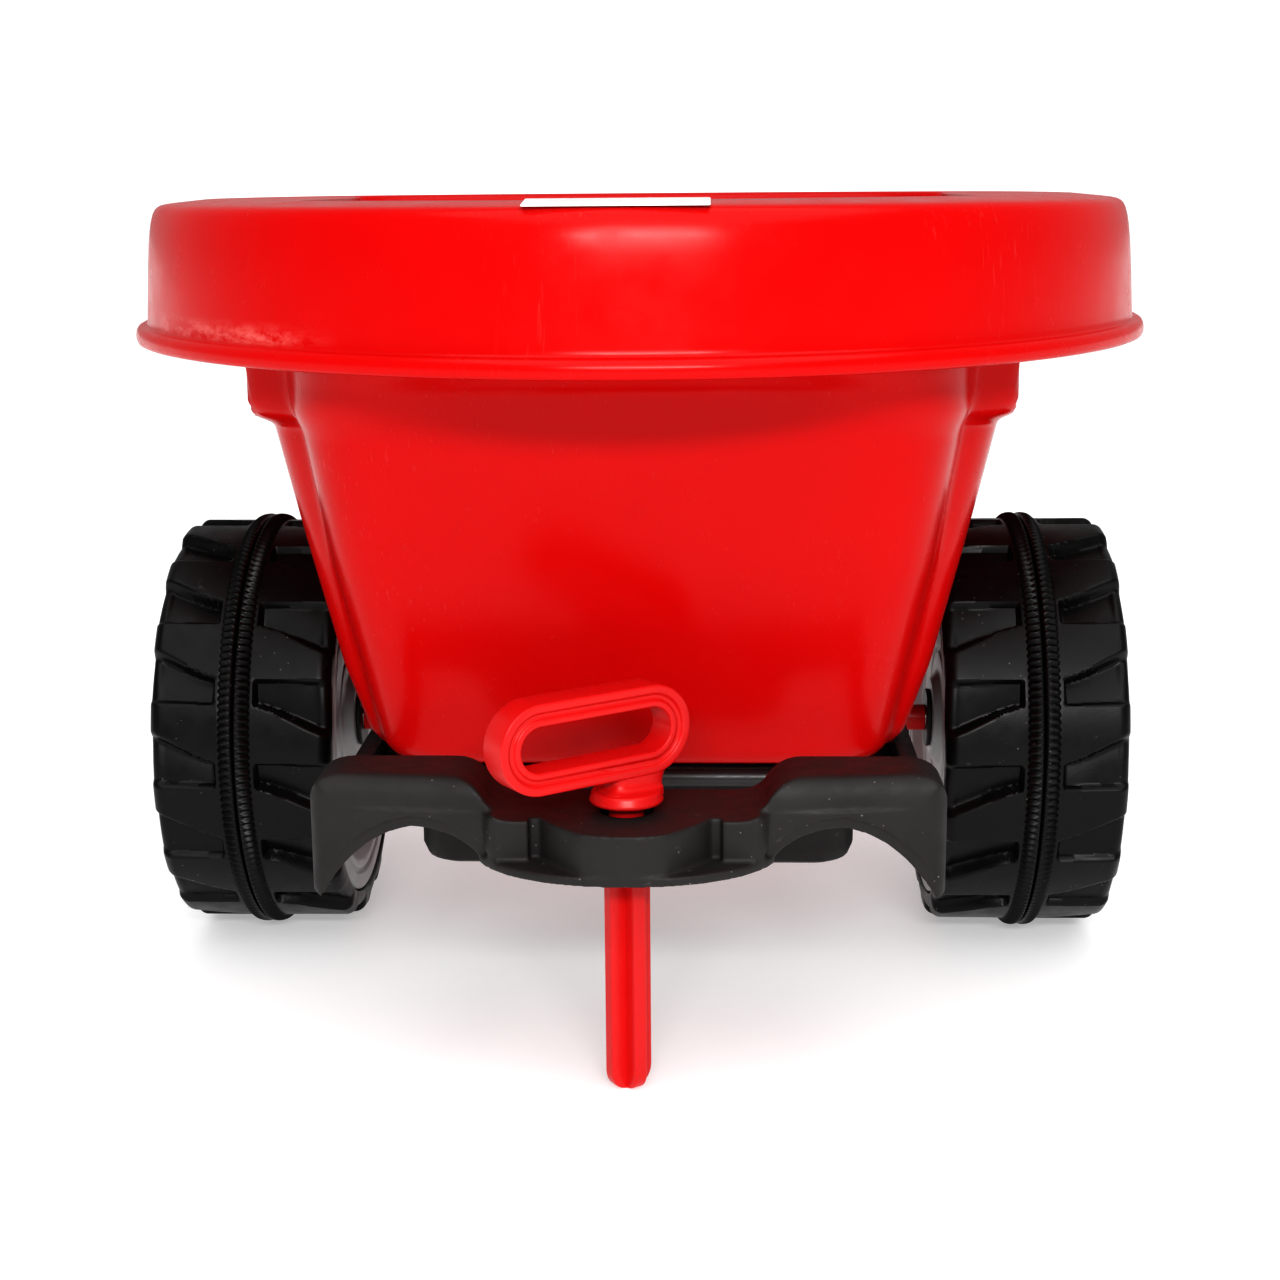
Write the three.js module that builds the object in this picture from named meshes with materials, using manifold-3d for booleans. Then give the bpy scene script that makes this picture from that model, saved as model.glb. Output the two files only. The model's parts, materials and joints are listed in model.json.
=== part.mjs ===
// A child's tow-behind tipping trailer. The moulded tub tips back on its axle, a black chassis
// carries the axle and the hitch beam, and a hitch pin with a loop handle stands on the ground.
// Millimetres, +Z up, hitch towards -Y, axle along X, standing on z = 0.

import * as THREE from 'three';
import { mergeVertices } from 'three/addons/utils/BufferGeometryUtils.js';
import Module from 'manifold-3d';

const wasm = await Module();
wasm.setup();

// ---------------------------------------------------------------- driving dimensions

const GAP = 0.3;                    // between faces that touch
const AXLE_Y = 10;                  // axle, from the middle of the trailer's length
const WHEEL_RADIUS = 100;           // over the central ring

const TUB = {
  halfWidth: 229, front: -257, rear: 237,         // over the rim lip, from the axle
  rimTop: 350, rimEdge: 348, lip: 289,            // the flat of the rim slopes down to its outer edge
  flatOuter: 13.5, flatInner: 34,                 // edges of that flat, inwards from the lip
  floor: 113, wall: 3, floorThickness: 4,
  frontPower: 1.95, rearPower: 3,                 // roundness of the plan, 2 is an ellipse
  points: 44,
  archRadius: 103, archX: 134.8,                  // recess in the sides for the wheels
};

const LABEL = { width: 66, depth: 20, thickness: 0.5, middle: -235 };

const WHEEL = {
  ringX: 180, innerWidth: 42.5, outerWidth: 38.5,
  lugRadius: 97, rootRadius: 92, innerRadius: 88, boreRadius: 85,
  crestStart: 1, crestEnd: 7,                     // half of the central ring, from the joint
  lugs: 16, webThickness: 3.5, webInset: 6,
};

const AXLE = { radius: 5, sleeveRadius: 6.25, bore: 5.3, end: 224 };
const BUSH = { bore: 5.45, radius: 9.6, flange: 14, length: 16, flangeThickness: 2 };
const WASHER = { radius: 11, thickness: 1.2 };
const RAIL = { inner: 115.3, outer: 122.7, low: 92, high: 112, front: -194, eyeRadius: 11.5 };
const BAR = { radius: 4, bore: 4.3, y: -118, z: 104.5 };
const REST = { x: 88, halfWidth: 3, front: -124, rear: -108 };  // feet of the tub on the cross bar
const BOX = { halfWidth: 97, front: -105, rear: -18, low: 58.5, high: 106, wall: 3, earLow: 92, earHigh: 101 };
const BRACKET = { x: 62, width: 14, eyeRadius: 9.5, footFront: -12, footRear: 33, footThickness: 3.2 };

const BEAM = {
  front: -214, rear: -172, bow: -235,             // pads, back edge and the tip of the bowed lug
  low: 96, lugTop: 116, crest: 130, tip: 79,
  halfWidth: 126, padHalf: 51, lugHalf: 35,
  archTop: 110, wall: 3, hollowFrom: 66, holeRadius: 10.3,
};

const PIN = {
  y: -200, shaftRadius: 9.5, ribWidth: 6, shaftTop: 108,
  neckRadius: 7, collarRadius: 15, collarLow: 119.5, collarHigh: 127,
  loopZ: 148.5, loopRadius: 18, loopHole: 9, loopThickness: 14,
  loopTurn: 36, loopLeft: -42, loopRight: 8,      // centres of the loop's round ends, from the axis
};

const SCREW = { radius: 2, headRadius: 4, headHeight: 2.4, bore: 2.3 };

// ---------------------------------------------------------------- materials

const finish = (color, roughness, metalness = 0) =>
  new THREE.MeshStandardMaterial({ color, roughness, metalness });

const redGloss = finish(0xd80b0f, 0.2);
const redSatin = finish(0xdf1a1c, 0.4);
const blackTread = finish(0x151515, 0.45);
const blackChassis = finish(0x1c1c1d, 0.65);
const greyDisc = finish(0x8d9092, 0.45);
const zincSteel = finish(0xb9bcc0, 0.35, 1);
const whiteLabel = finish(0xf3f3f1, 0.4);

// ---------------------------------------------------------------- solids

function toSolid(geometry) {
  const bare = geometry.clone();
  bare.deleteAttribute('normal');
  bare.deleteAttribute('uv');
  const merged = mergeVertices(bare, 1e-4);
  return new wasm.Manifold(new wasm.Mesh({
    numProp: 3,
    vertProperties: new Float32Array(merged.attributes.position.array),
    triVerts: new Uint32Array(merged.index.array),
  }));
}

function toGeometry(solid) {
  const mesh = solid.getMesh();
  const geometry = new THREE.BufferGeometry();
  geometry.setAttribute('position', new THREE.BufferAttribute(mesh.vertProperties, 3));
  geometry.setIndex(new THREE.BufferAttribute(mesh.triVerts, 1));
  geometry.computeVertexNormals();
  return geometry;
}

function join(...geometries) {
  const solids = geometries.map(toSolid);
  return toGeometry(solids.reduce((sum, solid) => sum.add(solid)));
}

function cut(geometry, ...tools) {
  const solids = tools.map(toSolid);
  return toGeometry(solids.reduce((rest, tool) => rest.subtract(tool), toSolid(geometry)));
}

function common(a, b) {
  return toGeometry(toSolid(a).intersect(toSolid(b)));
}

// Triangles between rings of points: each ring counter-clockwise seen from the side it faces.
function skin(rings, closed) {
  const count = rings[0].length;
  const points = rings.flat();
  const triangles = [];
  const bands = closed ? rings.length : rings.length - 1;
  for (let band = 0; band < bands; band++) {
    const low = band * count;
    const high = ((band + 1) % rings.length) * count;
    for (let i = 0; i < count; i++) {
      const next = (i + 1) % count;
      triangles.push(low + i, low + next, high + next, low + i, high + next, high + i);
    }
  }
  if (!closed) {
    const top = points.length - count;
    for (let i = 1; i < count - 1; i++) {
      triangles.push(0, i + 1, i);
      triangles.push(top, top + i, top + i + 1);
    }
  }
  const geometry = new THREE.BufferGeometry().setFromPoints(points);
  geometry.setIndex(triangles);
  return geometry;
}

function block(x0, x1, y0, y1, z0, z1) {
  const geometry = new THREE.BoxGeometry(x1 - x0, y1 - y0, z1 - z0);
  return geometry.translate((x0 + x1) / 2, (y0 + y1) / 2, (z0 + z1) / 2);
}

// A rod with its axis along X, Y or Z, centred on a point.
function rod(axis, radius, length, x, y, z, sides = 16) {
  const geometry = new THREE.CylinderGeometry(radius, radius, length, sides);
  if (axis === 'x') geometry.rotateZ(Math.PI / 2);
  if (axis === 'z') geometry.rotateX(Math.PI / 2);
  return geometry.translate(x, y, z);
}

function tube(axis, outer, inner, length, x, y, z, sides = 16) {
  return cut(rod(axis, outer, length, x, y, z, sides), rod(axis, inner, length + 2, x, y, z, sides));
}

// A flat outline extruded along X (outline in y, z) or along Y (outline in x, z).
function plateX(shape, x0, x1) {
  const geometry = new THREE.ExtrudeGeometry(shape, { depth: x1 - x0, bevelEnabled: false, curveSegments: 8 });
  geometry.rotateX(Math.PI / 2).rotateZ(Math.PI / 2);
  return geometry.translate(x0, 0, 0);
}

function plateY(shape, y0, y1) {
  const geometry = new THREE.ExtrudeGeometry(shape, { depth: y1 - y0, bevelEnabled: false, curveSegments: 8 });
  return geometry.rotateX(Math.PI / 2).translate(0, y1, 0);
}

// ---------------------------------------------------------------- assembly

const trailer = new THREE.Group();
const running = new THREE.Group();                // everything placed from the axle
running.position.set(0, AXLE_Y, 0);
trailer.add(running);

function add(name, geometry, material, parent = running) {
  const mesh = new THREE.Mesh(geometry, material);
  mesh.name = name;
  parent.add(mesh);
  return mesh;
}

const SIDES = [['left', -1], ['right', 1]];

// ---------------------------------------------------------------- tub

// A plan outline: a superellipse whose front and rear halves have their own depth and roundness.
function planRing({ z, half, front, rear, frontPower, rearPower }) {
  const ring = [];
  for (let i = 0; i < TUB.points; i++) {
    const angle = (i / TUB.points) * Math.PI * 2;
    const [c, s] = [Math.cos(angle), Math.sin(angle)];
    const power = 2 / (s < 0 ? frontPower : rearPower);
    const depth = s < 0 ? -front : rear;
    const x = half * Math.sign(c) * Math.abs(c) ** power;
    ring.push(new THREE.Vector3(x, depth * Math.sign(s) * Math.abs(s) ** power, z));
  }
  return ring;
}

const inset = (level, by) =>
  ({ ...level, half: level.half - by, front: level.front + by, rear: level.rear - by });

const BODY_LEVELS = [
  { z: TUB.floor, half: 112, front: -106, rear: 108, frontPower: 9, rearPower: 7 },
  { z: TUB.floor + 4, half: 120, front: -112, rear: 113, frontPower: 9, rearPower: 7 },
  { z: 150, half: 131, front: -117, rear: 126, frontPower: 9, rearPower: 7 },
  { z: 200, half: 144, front: -122, rear: 144, frontPower: 8, rearPower: 7 },
  { z: 258, half: 158, front: -127, rear: 161, frontPower: 7, rearPower: 7 },
  { z: 262, half: 165, front: -131, rear: 168, frontPower: 7, rearPower: 6 },
  { z: 272, half: 170, front: -136, rear: 173, frontPower: 7, rearPower: 6 },
  { z: 300, half: 172, front: -144, rear: 176, frontPower: 6, rearPower: 5 },
  { z: 328, half: 181, front: -186, rear: 188, frontPower: 3, rearPower: 3.6 },
  { z: TUB.rimTop - 0.5, half: 195.6, front: -223.6, rear: 203.6, frontPower: TUB.frontPower, rearPower: TUB.rearPower },
];

const NOSE_LEVELS = [
  { z: TUB.floor, half: 108, front: -126, rear: 60, frontPower: 9, rearPower: 6 },
  { z: TUB.floor + 5, half: 112, front: -132, rear: 62, frontPower: 9, rearPower: 6 },
  { z: 200, half: 129, front: -156, rear: 64, frontPower: 8, rearPower: 6 },
  { z: 277, half: 141, front: -177, rear: 66, frontPower: 7, rearPower: 6 },
  { z: 290, half: 145, front: -190, rear: 67, frontPower: 5, rearPower: 6 },
  { z: 306, half: 150, front: -207, rear: 68, frontPower: 3.4, rearPower: 6 },
  { z: TUB.rimTop - 1.1, half: 157, front: -219, rear: 70, frontPower: 2.4, rearPower: 6 },
];

// The cutter for the inside: each level drawn in by the wall, open above the rim.
function hollowLevels(levels) {
  const inner = levels.slice(1).map((level) => inset(level, TUB.wall));
  const floor = { ...inner[0], z: TUB.floor + TUB.floorThickness };
  inner[0] = floor;
  const top = inner[inner.length - 1];
  return [...inner, { ...top, z: TUB.rimTop + 5 }];
}

// Rim section as [offset out from the lip, height], round the closed profile.
const RIM_PROFILE = [
  [0, TUB.lip + 2], [-1, TUB.lip + 6], [-4, TUB.lip + 8], [-4.8, TUB.lip + 12],
  [-7.5, 340], [-9.5, 346], [-TUB.flatOuter, TUB.rimEdge], [-TUB.flatInner, TUB.rimTop],
  [-TUB.flatInner, TUB.rimTop - 3.5], [-15.5, TUB.rimEdge - 3.5], [-11, 340], [-8.2, TUB.lip + 12], [-7, TUB.lip + 6], [-3, TUB.lip],
];

function rimRing([offset, z]) {
  const lip = { z, half: TUB.halfWidth, front: TUB.front, rear: TUB.rear };
  return planRing({ ...inset(lip, -offset), frontPower: TUB.frontPower, rearPower: TUB.rearPower });
}

function tubRests() {
  const low = BAR.z + BAR.radius + GAP;
  return SIDES.map(([, side]) => {
    const x = side * REST.x;
    return block(x - REST.halfWidth, x + REST.halfWidth, REST.front, REST.rear, low, TUB.floor + 1);
  });
}

const BRACKET_SCREW_Y = [15, 27];

const bracketScrewSpots = (side) => BRACKET_SCREW_Y.map((y) => [side * (BRACKET.x + BRACKET.width / 2), y]);

// The space each wheel needs beside the tub, grown by the wall for the inside.
function wheelSpace(side, grow) {
  const length = 60;
  const middle = side * (TUB.archX - grow + length / 2);
  return rod('x', TUB.archRadius + grow, length, middle, 0, WHEEL_RADIUS, 28);
}

function makeTub() {
  const outside = join(
    skin(BODY_LEVELS.map(planRing), false),
    skin(NOSE_LEVELS.map(planRing), false),
    skin(RIM_PROFILE.map(rimRing), true),
    ...tubRests(),
  );
  const inside = cut(
    join(
      skin(hollowLevels(BODY_LEVELS).map(planRing), false),
      skin(hollowLevels(NOSE_LEVELS).map(planRing), false),
    ),
    wheelSpace(-1, TUB.wall),
    wheelSpace(1, TUB.wall),
  );
  const pilots = SIDES.flatMap(([, side]) => bracketScrewSpots(side).map(
    ([x, y]) => rod('z', SCREW.bore, 5, x, y, TUB.floor, 8)));
  return cut(outside, inside, wheelSpace(-1, 0), wheelSpace(1, 0), ...pilots);
}

add('tub', makeTub(), redGloss);

// The label lies on the sloping flat of the rim.
const rimSlope = (TUB.rimTop - TUB.rimEdge) / (TUB.flatInner - TUB.flatOuter);
const label = add('tub_label', new THREE.BoxGeometry(LABEL.width, LABEL.depth, LABEL.thickness), whiteLabel);
const labelSeat = TUB.rimEdge + rimSlope * (LABEL.middle - (TUB.front + TUB.flatOuter));
label.position.set(0, LABEL.middle, labelSeat + GAP + LABEL.thickness / 2);
label.rotation.x = Math.atan(rimSlope);

// A bracket under the tub floor, with an eye round the axle.
function makeBracket(x0) {
  const x1 = x0 + BRACKET.width;
  const footTop = TUB.floor - GAP;
  const footLow = footTop - BRACKET.footThickness;
  const eye = rod('x', BRACKET.eyeRadius, BRACKET.width, (x0 + x1) / 2, 0, WHEEL_RADIUS, 20);
  const neck = block(x0, x1, -BRACKET.eyeRadius, BRACKET.eyeRadius, WHEEL_RADIUS, footTop);
  const foot = block(x0, x1, BRACKET.footFront, BRACKET.footRear, footLow, footTop);
  const holes = bracketScrewSpots(Math.sign(x0)).map(([x, y]) => rod('z', SCREW.bore, 12, x, y, footTop, 8));
  const bore = rod('x', AXLE.bore, BRACKET.width + 2, (x0 + x1) / 2, 0, WHEEL_RADIUS, 16);
  return cut(join(eye, neck, foot), bore, ...holes);
}

for (const [name, side] of SIDES) {
  const x0 = side > 0 ? BRACKET.x : -BRACKET.x - BRACKET.width;
  add(`pivot_bracket_${name}`, makeBracket(x0), blackChassis);
}

// ---------------------------------------------------------------- wheels

const ringAngle = (index, count) => (index / count) * Math.PI * 2;

// Tread outline with trapezoid lugs, wide enough at the root to leave slanted recesses.
function lugOutline() {
  const shape = new THREE.Shape();
  const pitch = (Math.PI * 2) / WHEEL.lugs;
  const corners = [[0.08, WHEEL.rootRadius], [0.2, WHEEL.lugRadius], [0.8, WHEEL.lugRadius], [0.92, WHEEL.rootRadius]];
  for (let lug = 0; lug < WHEEL.lugs; lug++) {
    corners.forEach(([share, radius], index) => {
      const angle = (lug + share) * pitch;
      const at = [radius * Math.cos(angle), radius * Math.sin(angle)];
      if (lug === 0 && index === 0) shape.moveTo(...at);
      else shape.lineTo(...at);
    });
  }
  return shape;
}

// A body of revolution round X from a profile of [radius, x] that is closed, or starts and ends on the axis.
function turned(profile, segments) {
  const points = profile.map(([radius, x]) => new THREE.Vector2(radius, x));
  if (points[0].x > 0) points.push(points[0].clone());
  return new THREE.LatheGeometry(points, segments).rotateZ(-Math.PI / 2);
}

// One half of a tyre, from the ring plane (x = 0) outwards to x = width.
function makeTreadHalf(width) {
  const lugs = plateX(lugOutline(), WHEEL.crestEnd - 1, width);
  const crest = turned([
    [WHEEL.innerRadius, GAP / 2], [WHEEL.lugRadius, GAP / 2], [WHEEL_RADIUS, WHEEL.crestStart],
    [WHEEL_RADIUS, WHEEL.crestEnd - 2], [WHEEL.lugRadius - 1, WHEEL.crestEnd], [WHEEL.innerRadius, WHEEL.crestEnd],
  ], 36);
  const mouth = WHEEL.boreRadius + 0.2;
  const inside = turned([
    [0, -1], [WHEEL.innerRadius, -1], [WHEEL.innerRadius, width - 9],
    [mouth, width - 3], [mouth, width + 1], [0, width + 1],
  ], 24);
  return cut(join(lugs, crest), inside);
}

// A grey disc with a hub boss, its face near x = width, for the same half.
function makeDisc(width) {
  const face = width - WHEEL.webInset;
  return turned([
    [9.9, GAP / 2], [17, GAP / 2], [17, face - WHEEL.webThickness], [66, face - WHEEL.webThickness],
    [70, width - 9.5], [WHEEL.boreRadius - 4, width - 9.5], [WHEEL.boreRadius - GAP, width - 3],
    [WHEEL.boreRadius - GAP, width], [74, width], [69, face], [22, face], [19, width - 2.2], [9.9, width - 2.2],
  ], 24);
}

function makeBush(width) {
  return turned([
    [BUSH.bore, width - BUSH.length], [BUSH.radius, width - BUSH.length],
    [BUSH.radius, width - BUSH.flangeThickness], [BUSH.flange, width - BUSH.flangeThickness],
    [BUSH.flange, width], [BUSH.bore, width],
  ], 16);
}

function makePushCap() {
  const dome = turned([[0, 0], [9.5, 0], [9.5, 3], [7.5, 6.2], [4, 7.6], [0, 8]], 14);
  return cut(dome, rod('x', AXLE.radius + 0.25, 8, 1, 0, 0, 14));
}

for (const [name, side] of SIDES) {
  for (const [half, width, turn] of [['inner', WHEEL.innerWidth, -side], ['outer', WHEEL.outerWidth, side]]) {
    const group = new THREE.Group();
    group.position.set(side * WHEEL.ringX, 0, WHEEL_RADIUS);
    group.rotation.z = turn > 0 ? 0 : Math.PI;
    running.add(group);
    add(`wheel_${name}_tread_${half}`, makeTreadHalf(width), blackTread, group);
    add(`wheel_${name}_disc_${half}`, makeDisc(width), greyDisc, group);
    add(`wheel_${name}_bush_${half}`, makeBush(width), blackChassis, group);
  }
  const outerFace = WHEEL.ringX + WHEEL.outerWidth;
  const washerX = side * (outerFace + GAP + WASHER.thickness / 2);
  add(`axle_washer_${name}`, tube('x', WASHER.radius, AXLE.bore, WASHER.thickness, washerX, 0, WHEEL_RADIUS), zincSteel);
  const cap = add(`axle_cap_${name}`, makePushCap(), zincSteel);
  cap.position.set(side * (outerFace + GAP * 2 + WASHER.thickness), 0, WHEEL_RADIUS);
  cap.rotation.z = side > 0 ? 0 : Math.PI;
}

add('axle', rod('x', AXLE.radius, AXLE.end * 2, 0, 0, WHEEL_RADIUS, 16), zincSteel);

const innerFace = WHEEL.ringX - WHEEL.innerWidth;
const sleeveLength = innerFace - RAIL.outer - GAP * 2;
for (const [name, side] of SIDES) {
  const middle = side * (RAIL.outer + innerFace) / 2;
  const sleeve = tube('x', AXLE.sleeveRadius, AXLE.bore, sleeveLength, middle, 0, WHEEL_RADIUS);
  add(`axle_sleeve_${name}`, sleeve, redSatin);
}

// ---------------------------------------------------------------- chassis

const RAIL_SCREW_Y = [-188, -178];
const EAR_SCREW_Y = [-85, -40];
const RAIL_SCREW_Z = 102;
const EAR_SCREW_Z = 96.5;

function railOutline() {
  const shape = new THREE.Shape();
  shape.moveTo(RAIL.front, RAIL.low);
  shape.lineTo(-4, RAIL.low);
  shape.lineTo(0, WHEEL_RADIUS - RAIL.eyeRadius);
  shape.absarc(0, WHEEL_RADIUS, RAIL.eyeRadius, -Math.PI / 2, Math.PI / 2, false);
  shape.lineTo(-4, RAIL.high);
  shape.lineTo(RAIL.front, RAIL.high);
  shape.closePath();
  return shape;
}

function makeRail(side) {
  const x0 = side > 0 ? RAIL.inner : -RAIL.outer;
  const x1 = side > 0 ? RAIL.outer : -RAIL.inner;
  const middle = (x0 + x1) / 2;
  const through = RAIL.outer - RAIL.inner + 4;
  const holes = [
    rod('x', AXLE.bore, through, middle, 0, WHEEL_RADIUS, 16),
    rod('x', BAR.bore, through, middle, BAR.y, BAR.z, 14),
    ...EAR_SCREW_Y.map((y) => rod('x', SCREW.bore, through, middle, y, EAR_SCREW_Z, 8)),
    ...RAIL_SCREW_Y.map((y) => rod('x', SCREW.bore, through, middle, y, RAIL_SCREW_Z, 8)),
  ];
  return cut(plateX(railOutline(), x0, x1), ...holes);
}

function roundedRect(half, front, rear, radius) {
  const shape = new THREE.Shape();
  shape.moveTo(-half + radius, front);
  shape.lineTo(half - radius, front);
  shape.absarc(half - radius, front + radius, radius, -Math.PI / 2, 0, false);
  shape.lineTo(half, rear - radius);
  shape.absarc(half - radius, rear - radius, radius, 0, Math.PI / 2, false);
  shape.lineTo(-half + radius, rear);
  shape.absarc(-half + radius, rear - radius, radius, Math.PI / 2, Math.PI, false);
  shape.lineTo(-half, front + radius);
  shape.absarc(-half + radius, front + radius, radius, Math.PI, Math.PI * 1.5, false);
  return shape;
}

// An upright prism with rounded corners and a rounded lower edge.
function pan(half, front, rear, low, high, radius, edge) {
  const inner = roundedRect(half - edge, front + edge, rear - edge, radius - edge);
  const geometry = new THREE.ExtrudeGeometry(inner, {
    depth: high - low, bevelEnabled: true, bevelSize: edge, bevelThickness: edge, bevelSegments: 2, curveSegments: 3,
  });
  geometry.translate(0, 0, low + edge);
  return cut(geometry, block(-half - 5, half + 5, front - 5, rear + 5, high, high + 4 * edge));
}

function makeChassisBox() {
  const shell = pan(BOX.halfWidth, BOX.front, BOX.rear, BOX.low, BOX.high, 18, 8);
  const ears = block(-RAIL.inner + GAP, RAIL.inner - GAP, BOX.front + 10, BOX.rear - 12, BOX.earLow, BOX.earHigh);
  const wall = BOX.wall;
  const hollow = pan(BOX.halfWidth - wall, BOX.front + wall, BOX.rear - wall, BOX.low + wall, BOX.high + 8, 15, 6);
  const pilots = SIDES.flatMap(([, side]) => EAR_SCREW_Y.map(
    (y) => rod('x', SCREW.bore, 24, side * RAIL.inner, y, EAR_SCREW_Z, 8)));
  return cut(join(shell, ears), hollow, ...pilots);
}

for (const [name, side] of SIDES) add(`chassis_rail_${name}`, makeRail(side), blackChassis);
add('chassis_box', makeChassisBox(), blackChassis);

const barEnd = RAIL.outer + 5;
add('cross_bar', rod('x', BAR.radius, barEnd * 2, 0, BAR.y, BAR.z, 14), blackChassis);
for (const [name, side] of SIDES) {
  const cap = tube('x', 7, BAR.bore, 3, side * (RAIL.outer + GAP + 1.5), BAR.y, BAR.z, 14);
  add(`cross_bar_cap_${name}`, cap, zincSteel);
}

// ---------------------------------------------------------------- hitch beam

// Front view of the beam: low lug in the middle, two humps, legs curling down at the ends.
function beamFront() {
  const shape = new THREE.Shape();
  const outer = BEAM.halfWidth;
  const crest = BEAM.crest;
  const under = BEAM.archTop;
  shape.moveTo(0, BEAM.low);
  shape.lineTo(56, BEAM.low);
  shape.quadraticCurveTo(64, under - 1, 84, under);
  shape.quadraticCurveTo(106, under - 3, 122.5, BEAM.tip);
  shape.lineTo(outer, BEAM.tip + 2);
  shape.lineTo(outer, 117);
  shape.quadraticCurveTo(outer, crest, 108, crest);
  shape.lineTo(72, crest);
  shape.bezierCurveTo(62, crest, 57, BEAM.lugTop + 1, 46, BEAM.lugTop);
  shape.lineTo(0, BEAM.lugTop);
  return shape;
}

function mirrored(shape) {
  const points = shape.getPoints(6);
  const other = points.slice().reverse().map((p) => new THREE.Vector2(-p.x, p.y));
  const outline = [...points, ...other.filter((p) => p.x < -1e-6)];
  return new THREE.Shape(outline);
}

// Plan of the beam: bowed lug between square pads, arms swept a little back.
function beamPlan() {
  const shape = new THREE.Shape();
  shape.moveTo(0, BEAM.bow);
  shape.quadraticCurveTo(BEAM.lugHalf * 0.7, BEAM.bow, BEAM.lugHalf, BEAM.front - 4);
  shape.lineTo(BEAM.padHalf, BEAM.front - 2);
  shape.lineTo(BEAM.padHalf + 5, BEAM.front + 6);
  shape.lineTo(BEAM.halfWidth - 8, BEAM.front + 12);
  shape.quadraticCurveTo(BEAM.halfWidth + 1, BEAM.front + 14, BEAM.halfWidth + 1, BEAM.front + 24);
  shape.lineTo(BEAM.halfWidth + 1, BEAM.rear);
  shape.lineTo(0, BEAM.rear);
  return shape;
}

function upright(shape, z0, z1) {
  const geometry = new THREE.ExtrudeGeometry(shape, { depth: z1 - z0, bevelEnabled: false });
  return geometry.translate(0, 0, z0);
}

function armHollow(side) {
  const wall = BEAM.wall;
  const shape = new THREE.Shape();
  shape.moveTo(BEAM.hollowFrom, BEAM.tip - 5);
  shape.lineTo(BEAM.halfWidth - wall, BEAM.tip - 5);
  shape.lineTo(BEAM.halfWidth - wall, 117);
  shape.quadraticCurveTo(BEAM.halfWidth - wall, BEAM.crest - wall, 108, BEAM.crest - wall);
  shape.lineTo(BEAM.hollowFrom + 9, BEAM.crest - wall);
  shape.lineTo(BEAM.hollowFrom, BEAM.crest - 10);
  shape.closePath();
  const points = shape.getPoints(6).map((p) => new THREE.Vector2(side * p.x, p.y));
  return plateY(new THREE.Shape(points), BEAM.front + 19, BEAM.rear + 2);
}

function makeBeam() {
  const front = plateY(mirrored(beamFront()), BEAM.bow - 5, BEAM.rear);
  const body = common(front, upright(mirrored(beamPlan()), 0, 200));
  const hole = rod('z', BEAM.holeRadius, 60, 0, PIN.y, BEAM.lugTop, 24);
  const pilots = SIDES.flatMap(([, side]) => RAIL_SCREW_Y.map(
    (y) => rod('x', SCREW.bore, 5, side * RAIL.outer, y, RAIL_SCREW_Z, 8)));
  return cut(body, armHollow(-1), armHollow(1), hole, ...pilots);
}

add('hitch_beam', makeBeam(), blackChassis);

// ---------------------------------------------------------------- hitch pin

function stadium(radius) {
  const shape = new THREE.Shape();
  shape.moveTo(PIN.loopLeft, -radius);
  shape.lineTo(PIN.loopRight, -radius);
  shape.absarc(PIN.loopRight, 0, radius, -Math.PI / 2, Math.PI / 2, false);
  shape.lineTo(PIN.loopLeft, radius);
  shape.absarc(PIN.loopLeft, 0, radius, Math.PI / 2, Math.PI * 1.5, false);
  return shape;
}

function makePin() {
  const shape = stadium(PIN.loopRadius);
  shape.holes.push(stadium(PIN.loopHole));
  const loop = plateY(shape, -PIN.loopThickness / 2, PIN.loopThickness / 2).translate(0, 0, PIN.loopZ);
  const collarHeight = PIN.collarHigh - PIN.collarLow;
  const neckTop = PIN.loopZ - PIN.loopRadius + 4;
  const half = PIN.ribWidth / 2;
  const reach = Math.sqrt(PIN.shaftRadius ** 2 - half ** 2);
  const pin = join(
    loop,
    rod('z', PIN.neckRadius + 1, neckTop - PIN.collarLow, 0, 0, (neckTop + PIN.collarLow) / 2),
    rod('z', PIN.collarRadius, collarHeight, 0, 0, PIN.collarLow + collarHeight / 2, 24),
    rod('z', PIN.neckRadius, 16, 0, 0, PIN.collarLow - 6),
    block(-reach, reach, -half, half, 0, PIN.shaftTop),
    block(-half, half, -reach, reach, 0, PIN.shaftTop),
  );
  return pin.rotateZ(THREE.MathUtils.degToRad(PIN.loopTurn));
}

const pin = add('hitch_pin', makePin(), redSatin);
pin.position.set(0, PIN.y, 0);

// ---------------------------------------------------------------- screws

// A pan-head screw along +Z: head below z = 0, shank above it.
function makeScrew(length) {
  return new THREE.LatheGeometry([
    new THREE.Vector2(0, -SCREW.headHeight), new THREE.Vector2(SCREW.headRadius - 1, -SCREW.headHeight),
    new THREE.Vector2(SCREW.headRadius, -SCREW.headHeight + 1), new THREE.Vector2(SCREW.headRadius, 0),
    new THREE.Vector2(SCREW.radius, 0), new THREE.Vector2(SCREW.radius, length), new THREE.Vector2(0, length),
  ], 8).rotateX(Math.PI / 2);
}

function addScrew(name, length, x, y, z, side) {
  const screw = add(name, makeScrew(length), zincSteel);
  screw.position.set(x, y, z);
  if (side) screw.rotation.y = -side * Math.PI / 2;
}

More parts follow.
